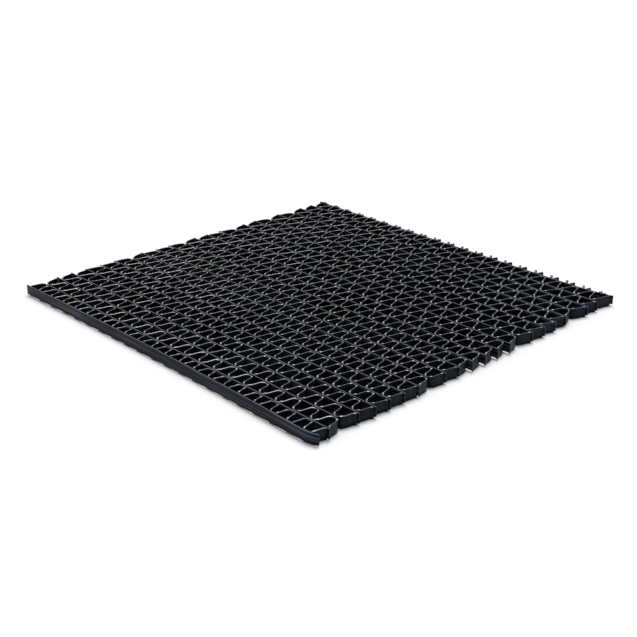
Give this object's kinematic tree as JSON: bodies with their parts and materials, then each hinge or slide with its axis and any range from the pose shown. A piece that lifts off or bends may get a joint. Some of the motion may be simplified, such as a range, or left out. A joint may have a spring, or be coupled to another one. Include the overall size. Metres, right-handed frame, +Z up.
{
  "type": "plastic floor mat",
  "caption": "Flat open-grid floor mat of straight and zigzag plastic strips set on edge and welded together, for draining and anti-slip footing.",
  "frame": {"origin": "middle of the footprint, on the floor that the mat lies on", "axes": "+X along the strips, +Y across them towards the trimmed edge with the stubs, +Z up"},
  "size_m": [0.512, 0.5012, 0.014],
  "materials": {
    "black_plastic": "satin"
  },
  "bodies": {
    "root": {"near_edge_strip": "black_plastic", "straight_strip_01": "black_plastic", "straight_strip_02": "black_plastic", "straight_strip_03": "black_plastic", "straight_strip_04": "black_plastic", "straight_strip_05": "black_plastic", "straight_strip_06": "black_plastic", "straight_strip_07": "black_plastic", "straight_strip_08": "black_plastic", "straight_strip_09": "black_plastic", "straight_strip_10": "black_plastic", "straight_strip_11": "black_plastic", "straight_strip_12": "black_plastic", "straight_strip_13": "black_plastic", "straight_strip_14": "black_plastic", "straight_strip_15": "black_plastic", "straight_strip_16": "black_plastic", "straight_strip_17": "black_plastic", "straight_strip_18": "black_plastic", "straight_strip_19": "black_plastic", "straight_strip_20": "black_plastic", "straight_strip_21": "black_plastic", "straight_strip_22": "black_plastic", "far_edge_strip": "black_plastic", "zigzag_strip_01": "black_plastic", "zigzag_strip_02": "black_plastic", "zigzag_strip_03": "black_plastic", "zigzag_strip_04": "black_plastic", "zigzag_strip_05": "black_plastic", "zigzag_strip_06": "black_plastic", "zigzag_strip_07": "black_plastic", "zigzag_strip_08": "black_plastic", "zigzag_strip_09": "black_plastic", "zigzag_strip_10": "black_plastic", "zigzag_strip_11": "black_plastic", "zigzag_strip_12": "black_plastic", "zigzag_strip_13": "black_plastic", "zigzag_strip_14": "black_plastic", "zigzag_strip_15": "black_plastic", "zigzag_strip_16": "black_plastic", "zigzag_strip_17": "black_plastic", "zigzag_strip_18": "black_plastic", "zigzag_strip_19": "black_plastic", "zigzag_strip_20": "black_plastic", "zigzag_strip_21": "black_plastic", "zigzag_strip_22": "black_plastic", "zigzag_strip_23": "black_plastic"}
  },
  "joints": []
}
